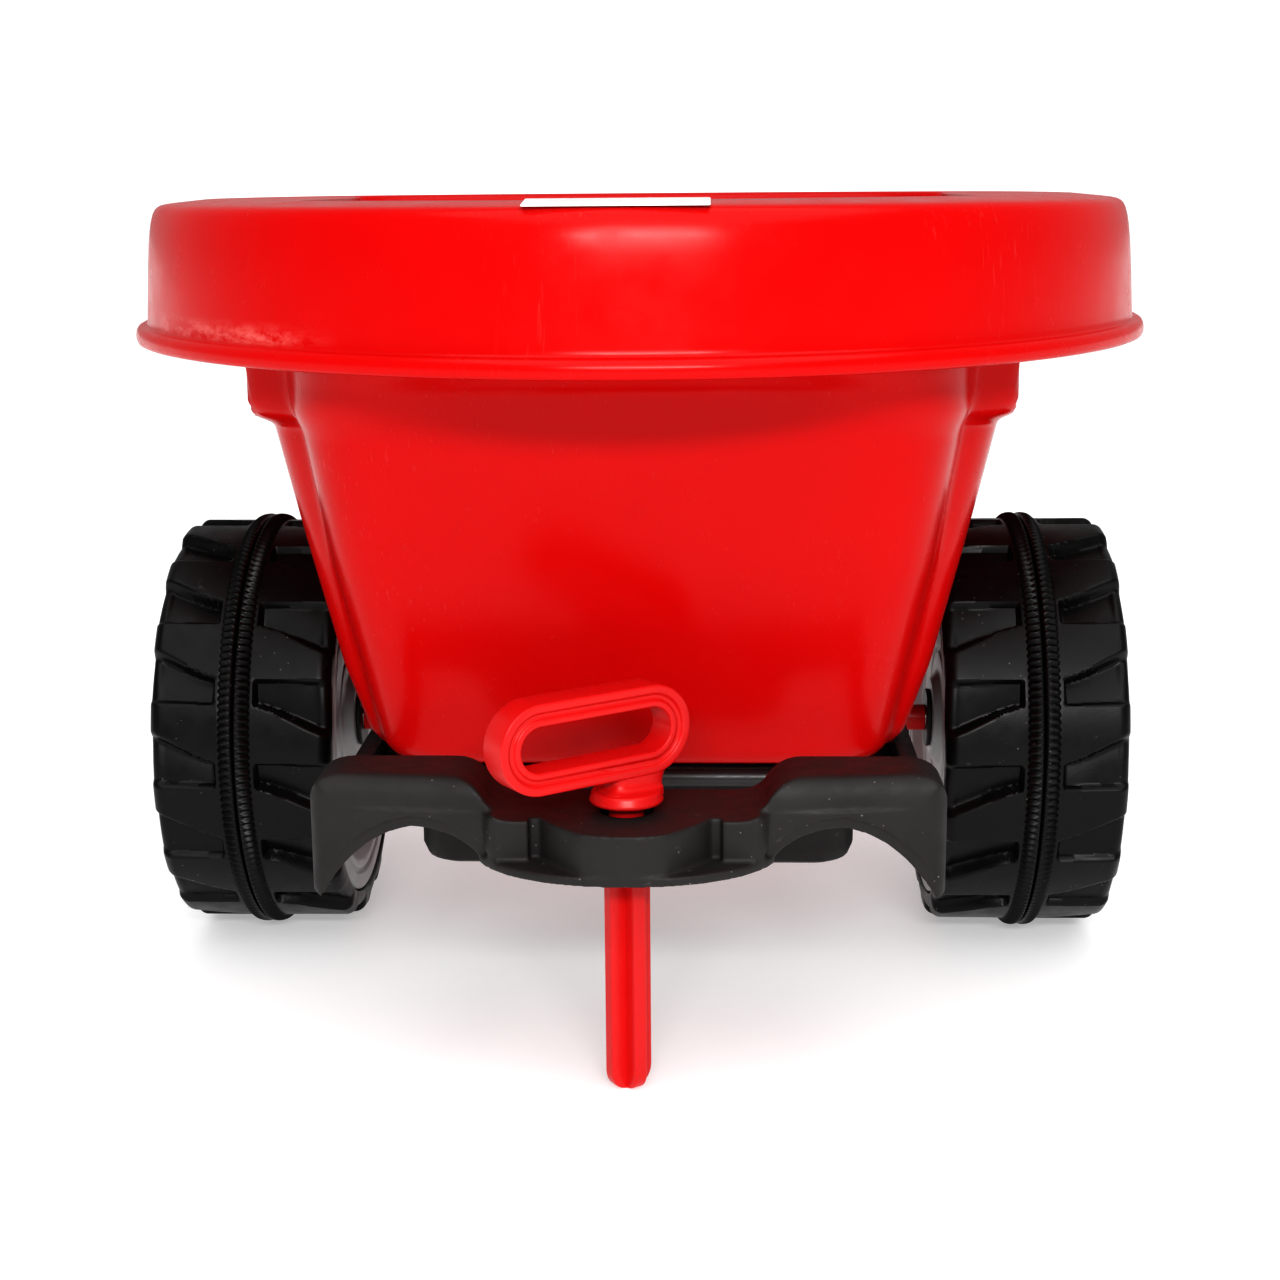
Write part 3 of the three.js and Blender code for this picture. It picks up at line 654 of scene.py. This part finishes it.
AXLE_RADIUS = 5
CROSS_BAR = dict(y=-118, z=104.5, radius=4)
AXLE_CAP = (
    (5.3, 0), (9.5, 0), (9.5, 2.6), (8.8, 4.4), (6.6, 6.6), (3.6, 7.7), (0.5, 8), (0.5, 5.2), (5.3, 5.2),
)


def box_mm(node):
    low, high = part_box(node)
    return low / MM, high / MM


def start_and_length(node, side):
    """The x where a node starts, going towards a side, and its length along x."""
    low, high = box_mm(node)
    return (low.x if side > 0 else high.x), high.x - low.x


def bar_profile(radius, length, chamfer, core):
    """A round bar's section with chamfered ends; core is the tiny radius that its end faces start from."""
    return [(core, 0), (radius - chamfer, 0), (radius, chamfer), (radius, length - chamfer),
            (radius - chamfer, length), (core, length)]


def tube_profile(inner, outer, length, radius, steps):
    return rounded([(inner, 0), (outer, 0), (outer, length), (inner, length)], radius, steps)


def on_cross_bar(profile, start, side, steps):
    points, faces = turned_x(profile, start, side, steps, z=CROSS_BAR["z"])
    return points + (0, CROSS_BAR["y"], 0), faces


def make_axle():
    start, length = start_and_length("axle", 1)
    shape = turned_x(bar_profile(AXLE_RADIUS, length, 1.2, 0.4), start, 1, 48)
    return new_object("axle_bar", *shape, ZINC)


def make_sleeve(name, node, side):
    start, length = start_and_length(node, side)
    return new_object(name, *turned_x(tube_profile(5.3, 6.25, length, 0.4, 3), start, side, 64), RED_PIN)


def make_washer(name, node, side):
    start, length = start_and_length(node, side)
    return new_object(name, *turned_x(tube_profile(5.3, 11, length, 0.3, 2), start, side, 64), ZINC)


def make_axle_cap(name, node, side):
    start, _ = start_and_length(node, side)
    return new_object(name, *turned_x(rounded(AXLE_CAP, 0.7, 3), start, side, 64), ZINC)


def make_bar_cap(name, node, side):
    start, length = start_and_length(node, side)
    return new_object(name, *on_cross_bar(tube_profile(4.3, 7, length, 0.7, 3), start, side, 48), ZINC)


def make_cross_bar():
    start, length = start_and_length("cross_bar", 1)
    shape = on_cross_bar(bar_profile(CROSS_BAR["radius"], length, 0.8, 0.3), start, 1, 40)
    return new_object("round_cross_bar", *shape, BLACK_STEEL)


place(make_axle(), "chassis", "zinc_steel", "axle")
for side_name, side in SIDES:
    node = f"axle_sleeve_{side_name}"
    place(make_sleeve(f"red_sleeve_{side_name}", node, side), "chassis", "red_pin", node)
    node = f"axle_washer_{side_name}"
    place(make_washer(f"washer_{side_name}", node, side), "chassis", "zinc_steel", node)
    node = f"axle_cap_{side_name}"
    place(make_axle_cap(f"push_cap_{side_name}", node, side), "chassis", "zinc_steel", node)
    node = f"cross_bar_cap_{side_name}"
    place(make_bar_cap(f"bar_cap_{side_name}", node, side), "chassis", "zinc_steel", node)
place(make_cross_bar(), "chassis", "black_steel", "cross_bar")


# ---------------------------------------------------------------- CAD solids with rounded edges

def copy_of(node, name, material, width, segments=3, sharp=35):
    """A CAD node's shape with bevelled edges, as a piece of its own."""
    source = frame["nodes"][node]
    mesh = source.data.copy()
    piece = bpy.data.objects.new(name, mesh)
    bpy.context.scene.collection.objects.link(piece)
    work = bmesh.new()
    work.from_mesh(mesh)
    bmesh.ops.remove_doubles(work, verts=work.verts, dist=1e-5)
    bmesh.ops.dissolve_limit(work, angle_limit=radians(2), verts=work.verts, edges=work.edges)
    work.to_mesh(mesh)
    work.free()
    bevel = piece.modifiers.new("edges", "BEVEL")
    bevel.width = width * MM
    bevel.segments = segments
    bevel.limit_method = "ANGLE"
    bevel.angle_limit = radians(40)
    bevel.use_clamp_overlap = True
    apply_modifiers(piece)
    finish_mesh(piece, material, sharp)
    return piece


def apply_modifiers(piece):
    bpy.context.view_layer.update()
    evaluated = piece.evaluated_get(bpy.context.evaluated_depsgraph_get())
    mesh = bpy.data.meshes.new_from_object(evaluated)
    piece.modifiers.clear()
    piece.data = mesh


for side_name, side in SIDES:
    rail = copy_of(f"chassis_rail_{side_name}", f"rail_{side_name}", BLACK_STEEL, 0.8)
    place(rail, "chassis", "black_steel", f"chassis_rail_{side_name}")
    bracket = copy_of(f"pivot_bracket_{side_name}", f"tub_bracket_{side_name}", BLACK_CHASSIS, 0.8)
    place(bracket, "tub", "black_chassis", f"pivot_bracket_{side_name}")

box_piece = copy_of("chassis_box", "chassis_pan", BLACK_CHASSIS, 0.9)
place(box_piece, "chassis", "black_chassis", "chassis_box")


# ---------------------------------------------------------------- hitch beam

PIN_Y = -200
BEAM = dict(front=-214, rear=-172, bow=-235, low=96, top=116, crest=130, tip=79, half=126, pad=51, lug=35,
            arch=110, arch_foot=56, arch_peak=84, arch_end=122.5, brow=117, wall=3, hole=10.3)


def curve(start, control, end, steps=14):
    """Points of a quadratic curve, without its first point."""
    t = np.linspace(0, 1, steps + 1)[1:, None]
    start, control, end = (np.array(p, float) for p in (start, control, end))
    return [tuple(p) for p in (1 - t) ** 2 * start + 2 * t * (1 - t) * control + t * t * end]


def arch_edge():
    """The underside of an arm, from the lug's foot over the arch to the curled end."""
    b = BEAM
    foot = (b["arch_foot"], b["low"])
    peak = (b["arch_peak"], b["arch"])
    rise = curve(foot, (64, b["arch"] - 1), peak)
    return [foot] + rise + curve(peak, (106, b["arch"] - 3), (b["arch_end"], b["tip"]))


def beam_front_half():
    b = BEAM
    points = [(0, b["low"])] + arch_edge()
    points += [(b["half"], b["tip"] + 2), (b["half"], b["brow"])]
    points += curve((b["half"], b["brow"]), (b["half"], b["crest"]), (110, b["crest"]))
    points += [(70, b["crest"])]
    points += curve((70, b["crest"]), (60, b["crest"]), (55, 121))
    points += curve((55, 121), (51, b["top"]), (42, b["top"]))
    points += [(0, b["top"])]
    return points


def beam_plan_half():
    b = BEAM
    front, end = b["front"], b["half"] + 1
    points = [(0, b["bow"])]
    points += curve((0, b["bow"]), (22, b["bow"]), (b["lug"], front - 2))
    points += [(b["pad"], front - 2), (b["pad"] + 2, front), (b["pad"] + 5, front + 6)]
    points += curve((b["pad"] + 5, front + 6), (90, front + 7), (118, front + 12))
    points += curve((118, front + 12), (end, front + 14), (end, front + 26))
    points += [(end, b["rear"]), (0, b["rear"])]
    return points


def mirrored(points):
    return points + [(-x, other) for x, other in reversed(points) if x > 1e-6]


def prism(outline, low, high, axis):
    """An outline extruded along y (outline in x, z) or along z (outline in x, y)."""
    rings = []
    for level in (low, high):
        if axis == "y":
            rings.append([(x, level, z) for x, z in outline])
        else:
            rings.append([(x, y, level) for x, y in outline])
    return solid_from(*loft(rings))


def solid_from(points, faces):
    """A plain closed solid for cutting and joining."""
    mesh = bpy.data.meshes.new("solid")
    mesh.from_pydata(to_frame(points).tolist(), [], faces)
    piece = bpy.data.objects.new("solid", mesh)
    bpy.context.scene.collection.objects.link(piece)
    work = bmesh.new()
    work.from_mesh(mesh)
    bmesh.ops.recalc_face_normals(work, faces=work.faces)
    work.to_mesh(mesh)
    work.free()
    return piece


def combine(piece, operation, *tools):
    for tool in tools:
        modifier = piece.modifiers.new("combine", "BOOLEAN")
        modifier.operation = operation
        modifier.solver = "EXACT"
        modifier.object = tool
        apply_modifiers(piece)
        bpy.data.objects.remove(tool)
    return piece


def circle(x, y, radius, steps=48):
    angles = [2 * pi * k / steps for k in range(steps)]
    return [(x + radius * cos(a), y + radius * sin(a)) for a in angles]


def soften(piece, voxel, rounds, factor=0.5):
    """Rounds every edge as on a moulding: an even remesh, then smoothing."""
    remesh = piece.modifiers.new("remesh", "REMESH")
    remesh.mode = "VOXEL"
    remesh.voxel_size = voxel * MM
    apply_modifiers(piece)
    smooth = piece.modifiers.new("smooth", "SMOOTH")
    smooth.factor = factor
    smooth.iterations = rounds
    apply_modifiers(piece)


def face_y(x):
    """The arms' front face, swept back a little towards its ends."""
    set_back, sweep, length = 6, 6, 62
    return BEAM["front"] + set_back + sweep * np.clip((abs(x) - BEAM["arch_foot"]) / length, 0, 1.2)


def slanted(outline, side, near, far):
    """An outline in x, z extruded along y, each end either a plain y or a distance behind the arm's face."""
    rings = []
    for end in (near, far):
        level = (lambda x: end["y"]) if "y" in end else (lambda x: face_y(x) + end["behind"])
        rings.append([(side * x, level(x), z) for x, z in outline])
    return solid_from(*loft(rings))


def arm_hollow(side):
    """The arms are shells, open below and behind."""
    b = BEAM
    foot, end, roof = b["tip"] - 6, b["half"] - b["wall"], b["crest"] - b["wall"]
    points = [(66, foot), (end, foot), (end, b["brow"])]
    points += curve((end, b["brow"]), (end, roof), (109, roof))
    points += [(75, roof), (66, b["crest"] - 10)]
    return slanted(points, side, {"behind": 4}, {"y": b["rear"] + 4})


def arch_step(side):
    """A shallow set-back band along the arch's edge on the front face."""
    band = 4.6
    edge = arch_edge()
    upper = []
    for i, (x, z) in enumerate(edge):
        ahead = edge[min(i + 1, len(edge) - 1)]
        back = edge[max(i - 1, 0)]
        along = np.array((ahead[0] - back[0], ahead[1] - back[1]))
        normal = np.array((-along[1], along[0])) / np.linalg.norm(along)
        upper.append((x + band * normal[0], z + band * normal[1]))
    lower = [(x, z - 4) for x, z in edge]
    return slanted(lower + list(reversed(upper)), side, {"y": BEAM["bow"]}, {"behind": 0.8})


def arm_rounding(side):
    """The space in front of and above an arm's broad rounded brow, which is cut off."""
    b = BEAM
    brow, depth = 13, 6.5
    rings = []
    for x in (b["pad"] + 1, 66, 90, b["half"] + 8):
        front = face_y(x)
        arc = []
        for k in range(17):
            a = pi / 2 * k / 16
            arc.append((front + depth * (1 - cos(a)), b["crest"] - brow + brow * sin(a)))
        ends = [(front + depth, b["crest"] + 20), (front - 30, b["crest"] + 20)]
        outline = [(front - 30, b["crest"] - brow)] + arc + ends
        rings.append([(side * x, y, z) for y, z in outline])
    return solid_from(*loft(rings))


def base_flange():
    """A thin ledge along the foot of the lug, in front of the pads' pockets."""
    b = BEAM
    front, bow, thickness = b["front"], b["bow"], 3.6
    points = [(0, bow - 0.2)]
    points += curve((0, bow - 0.2), (26, bow), (42, front - 10))
    points += curve((42, front - 10), (54, front - 2), (58, front + 9))
    points += [(58, front + 20), (0, front + 20)]
    return prism(mirrored(points), b["low"], b["low"] + thickness, "z")


def pocket(side):
    """The recess between a pad and the bow of the lug."""
    b = BEAM
    front, back = b["front"], b["front"] + 2.5
    points = [(37.5, front - 24), (37.5, back), (33, back)]
    points += curve((33, back), (27, front - 9), (12, front - 21.5))
    points += [(12, front - 24)]
    return prism([(side * x, y) for x, y in points], b["low"] + 3.4, b["top"] + 5, "z")


def pin_hole():
    """The round hole through the lug, longer than the lug is thick."""
    return prism(circle(0, PIN_Y, BEAM["hole"]), 80, 130, "z")


def make_beam():
    b = BEAM
    beam = prism(mirrored(beam_front_half()), b["bow"] - 5, b["rear"], "y")
    combine(beam, "INTERSECT", prism(mirrored(beam_plan_half()), 40, 160, "z"))
    for _, side in SIDES:
        combine(beam, "DIFFERENCE", pocket(side), arm_rounding(side), arch_step(side), arm_hollow(side))
    combine(beam, "UNION", base_flange())
    combine(beam, "DIFFERENCE", pin_hole())
    soften(beam, 0.8, 4)
    beam.name = "moulded_beam"
    finish_mesh(beam, BLACK_CHASSIS, 180)
    return beam


place(make_beam(), "chassis", "black_chassis", "hitch_beam")


# ---------------------------------------------------------------- hitch pin

PIN = dict(z=148.5, turn=radians(36), left=-42, right=8, outer=18, hole=9, half_thickness=7,
           collar=14.6, collar_low=119.4, collar_high=124.6, rib=3, shaft=9.5)
# Each neck level is z, middle along the loop, half length, half thickness.
NECK_LEVELS = (
    (122, 1, 13.4, 9), (124.7, 1.6, 12.7, 8.6), (125.4, 2.2, 12, 7.4), (126.6, 3, 11.4, 6.8),
    (128.6, 3.6, 11.4, 6.6), (130.6, 3.8, 12.2, 6.5), (132.3, 3.6, 13.8, 6.4), (133.7, 3, 16.2, 6.3),
    (134.9, 2, 19.6, 6.2), (136, 1, 22.5, 6),
)
# Each shaft level is z, share of the full reach.
SHAFT_LEVELS = (
    (0, 0.45), (0.4, 0.58), (1.1, 0.7), (2.2, 0.82), (3.8, 0.92), (5.6, 0.98), (7.5, 1.0), (40, 1.0),
    (80, 1.0), (106, 1.0), (107.5, 0.97), (108, 0.9),
)


def turned_about_pin(points):
    """Points drawn along the loop's own direction, turned and moved to the pin's axis."""
    array = np.asarray(points, float)
    c, s = cos(PIN["turn"]), sin(PIN["turn"])
    x = array[:, 0] * c - array[:, 1] * s
    y = array[:, 0] * s + array[:, 1] * c
    return np.stack([x, y + PIN_Y, array[:, 2]], axis=1)


def loop_path(arc_steps=40, line_steps=24):
    """(x, outward x, outward z) round the loop's spine: two lines and two round ends."""
    stations = []
    for start, end, out_z in ((PIN["left"], PIN["right"], -1), (PIN["right"], PIN["left"], 1)):
        for k in range(line_steps):
            stations.append((start + (end - start) * k / line_steps, 0, out_z))
        for k in range(arc_steps):
            a = out_z * pi / 2 + pi * k / arc_steps
            stations.append((end, cos(a), sin(a)))
    return stations


def loop_section():
    """The bar of the loop: flanges at both edges and a groove between them, on both faces."""
    t, groove = PIN["half_thickness"], 1.5
    half = [(PIN["outer"], t), (14.6, t), (13.9, t - groove), (12.2, t - groove), (11.5, t - 0.2),
            (PIN["hole"], t - 0.2)]
    return rounded(half + [(n, -side) for n, side in reversed(half)], 0.9, 4)


def make_loop():
    section = loop_section()
    rings = []
    for x, out_x, out_z in loop_path():
        ring = [(x + out_x * n, side, PIN["z"] + out_z * n) for n, side in section]
        rings.append(turned_about_pin(ring))
    return loft(rings, wrap=True)


def make_neck():
    """A blade from the collar up into the loop, with fillets where it meets the loop."""
    steps = 72
    rings = []
    for z, middle, long, short in NECK_LEVELS:
        ring = []
        for k in range(steps):
            a = 2 * pi * k / steps
            c, s = cos(a), sin(a)
            ring.append((middle + long * np.sign(c) * abs(c) ** 0.5, short * np.sign(s) * abs(s) ** 0.5, z))
        rings.append(turned_about_pin(ring))
    return loft(rings)


def make_collar():
    r = PIN["collar"]
    low, high = PIN["collar_low"], PIN["collar_high"]
    profile = [(1, low), (r - 1.2, low), (r - 0.4, low + 0.3), (r, low + 0.9), (r, low + 1.7),
               (r - 0.4, low + 2.3), (r - 0.8, high - 1.2), (r - 1.3, high - 0.4), (r - 2, high), (1, high)]
    return turned_z(profile, 0, PIN_Y, 72)


def make_lower_neck():
    """A round core between the shaft and the collar, inside the lug's hole."""
    radius, low, high = 7, 104, 120.5
    return turned_z([(1, low), (radius, low), (radius, high), (1, high)], 0, PIN_Y, 48)


def make_shaft():
    """A cross-shaped shaft, turned with the loop, with rounded ribs and a rounded foot."""
    count = 160
    angles = np.arange(count) / count * 2 * pi
    c, s = np.abs(np.cos(angles)), np.abs(np.sin(angles))
    power = 9

    def bar(long, short):
        return ((c / long) ** power + (s / short) ** power) ** (-1 / power)

    rings = []
    for z, share in SHAFT_LEVELS:
        reach = PIN["shaft"] * share
        rib = min(PIN["rib"], reach)
        cross = np.maximum(bar(reach, rib), bar(rib, reach))
        ring = np.stack([cross * np.cos(angles), cross * np.sin(angles), np.full(count, float(z))], axis=1)
        rings.append(turned_about_pin(ring))
    return loft(rings)


pin_mesh = merged(make_loop(), make_neck(), make_collar(), make_lower_neck(), make_shaft())
place(new_object("moulded_pin", *pin_mesh, RED_PIN, sharp=40), "pin", "red_pin", "hitch_pin")


# ---------------------------------------------------------------- screws

SCREW_HEAD = 2.4


def make_screw(name, head, axis, length):
    """A pan-head screw with a cross recess; head is the centre of its seat, axis points into the hole."""
    profile = ((0.2, -SCREW_HEAD), (2.6, -SCREW_HEAD), (3.5, -2.0), (4.0, -1.2), (4.0, 0), (2.0, 0),
               (2.0, length - 1), (0.4, length))
    points, faces = loft([[(x, y, along) for x, y in circle(0, 0, radius)] for radius, along in profile])
    turn = Vector((0, 0, 1)).rotation_difference(Vector(axis)).to_matrix()
    moved = [tuple(turn @ Vector(p) + Vector(head)) for p in points]
    screw = new_object(name, moved, faces, ZINC)
    return cross_recess(screw, Vector(head) - Vector(axis) * SCREW_HEAD, turn)


def cross_recess(screw, face_centre, turn):
    long, short, depth = 1.9, 0.35, 1.3
    for half_x, half_y in ((long, short), (short, long)):
        corners = rectangle(half_x, half_y)
        rings = []
        for along in (-1, depth):
            rings.append([tuple(turn @ Vector((x, y, along)) + face_centre) for x, y in corners])
        combine(screw, "DIFFERENCE", solid_from(*loft(rings)))
    finish_mesh(screw, ZINC, 35)
    return screw


def screw_from_node(node, axis, body):
    low, high = box_mm(node)
    middle = (low + high) / 2 - Vector((0, AXLE_Y, 0))
    axis = Vector(axis)
    reach = (high - low) @ Vector((abs(axis.x), abs(axis.y), abs(axis.z)))
    head = middle - axis * (reach / 2 - SCREW_HEAD)
    piece = make_screw(f"{node}_head", head, axis, reach - SCREW_HEAD)
    place(piece, body, "zinc_steel", node)


for side_name, side in SIDES:
    for i in (1, 2):
        screw_from_node(f"rail_screw_{side_name}_{i}", (side, 0, 0), "chassis")
        screw_from_node(f"ear_screw_{side_name}_{i}", (-side, 0, 0), "chassis")
        screw_from_node(f"bracket_screw_{side_name}_{i}", (0, 0, 1), "tub")


# ---------------------------------------------------------------- floor, light and camera

def make_floor():
    mesh = bpy.data.meshes.new("floor")
    half_size = 60
    mesh.from_pydata([(x, y, 0) for x, y in rectangle(half_size, half_size)], [], [(0, 1, 2, 3)])
    floor = bpy.data.objects.new("floor", mesh)
    bpy.context.scene.collection.objects.link(floor)
    material = bpy.data.materials.new("pale_floor")
    material.use_nodes = True
    shader = material.node_tree.nodes["Principled BSDF"]
    shader.inputs["Base Color"].default_value = (0.72, 0.72, 0.72, 1)
    shader.inputs["Emission Color"].default_value = (1, 1, 1, 1)
    shader.inputs["Emission Strength"].default_value = 0.3
    shader.inputs["Roughness"].default_value = 0.6
    shader.inputs["Specular IOR Level"].default_value = 0.2
    mesh.materials.append(material)


def make_area_light(name, place_at, target, size, power):
    data = bpy.data.lights.new(name, "AREA")
    data.shape = "RECTANGLE"
    data.size, data.size_y = size
    data.energy = power
    light = bpy.data.objects.new(name, data)
    light.location = place_at
    light.rotation_euler = (Vector(target) - Vector(place_at)).to_track_quat("-Z", "Y").to_euler()
    bpy.context.scene.collection.objects.link(light)


def make_world(front, behind, backdrop):
    """A studio that is white behind the object and dim in front of it, with a plain white backdrop."""
    world = bpy.data.worlds.new("studio")
    world.use_nodes = True
    tree = world.node_tree
    background = tree.nodes["Background"]
    background.inputs["Color"].default_value = (1, 1, 1, 1)
    direction = tree.nodes.new("ShaderNodeTexCoord").outputs["Generated"]
    parts = tree.nodes.new("ShaderNodeSeparateXYZ")
    tree.links.new(direction, parts.inputs["Vector"])
    depth = tree.nodes.new("ShaderNodeMapRange")
    depth.interpolation_type = "SMOOTHSTEP"
    depth.inputs["From Min"].default_value = -0.15
    depth.inputs["From Max"].default_value = 0.75
    depth.inputs["To Min"].default_value = front
    depth.inputs["To Max"].default_value = behind
    tree.links.new(parts.outputs["Y"], depth.inputs["Value"])
    paths = tree.nodes.new("ShaderNodeLightPath")
    choice = tree.nodes.new("ShaderNodeMix")
    choice.inputs["B"].default_value = backdrop
    tree.links.new(paths.outputs["Is Camera Ray"], choice.inputs["Factor"])
    tree.links.new(depth.outputs["Result"], choice.inputs["A"])
    tree.links.new(choice.outputs["Result"], background.inputs["Strength"])
    bpy.context.scene.world = world


def make_sun(power, towards, softness):
    """Even soft light from above; towards points at it from the object."""
    data = bpy.data.lights.new("sky", "SUN")
    data.energy = power
    data.angle = radians(softness)
    light = bpy.data.objects.new("sky", data)
    light.rotation_euler = (-Vector(towards)).to_track_quat("-Z", "Y").to_euler()
    bpy.context.scene.collection.objects.link(light)


def make_camera():
    """At the hitch end, a little to the right of the middle and looking slightly down."""
    stand = (0.033, -0.9447, 0.356)
    pitch, yaw, roll = radians(12.82), -0.036, -0.0078
    look = Vector((sin(yaw) * cos(pitch), cos(yaw) * cos(pitch), -sin(pitch)))
    right = look.cross(Vector((0, 0, 1))).normalized()
    up = right.cross(look)
    right, up = cos(roll) * right + sin(roll) * up, cos(roll) * up - sin(roll) * right
    data = bpy.data.cameras.new("camera")
    data.sensor_width = 36
    data.lens = 56.6
    camera = bpy.data.objects.new("camera", data)
    rotation = Matrix((right, up, -look)).transposed().to_4x4()
    camera.matrix_world = Matrix.Translation(stand) @ rotation
    bpy.context.scene.collection.objects.link(camera)
    bpy.context.scene.camera = camera


make_floor()
make_world(front=0.17, behind=0.36, backdrop=0.975)
make_sun(power=1.75, towards=(0.1, -0.4, 1.0), softness=80)
make_area_light("front_softbox", place_at=(0.12, -1.75, 0.9), target=(0.03, -0.25, 0.34),
                size=(1.0, 0.14), power=14)
make_camera()
settings = bpy.context.scene.view_settings
settings.view_transform = "Standard"
settings.look = "High Contrast"
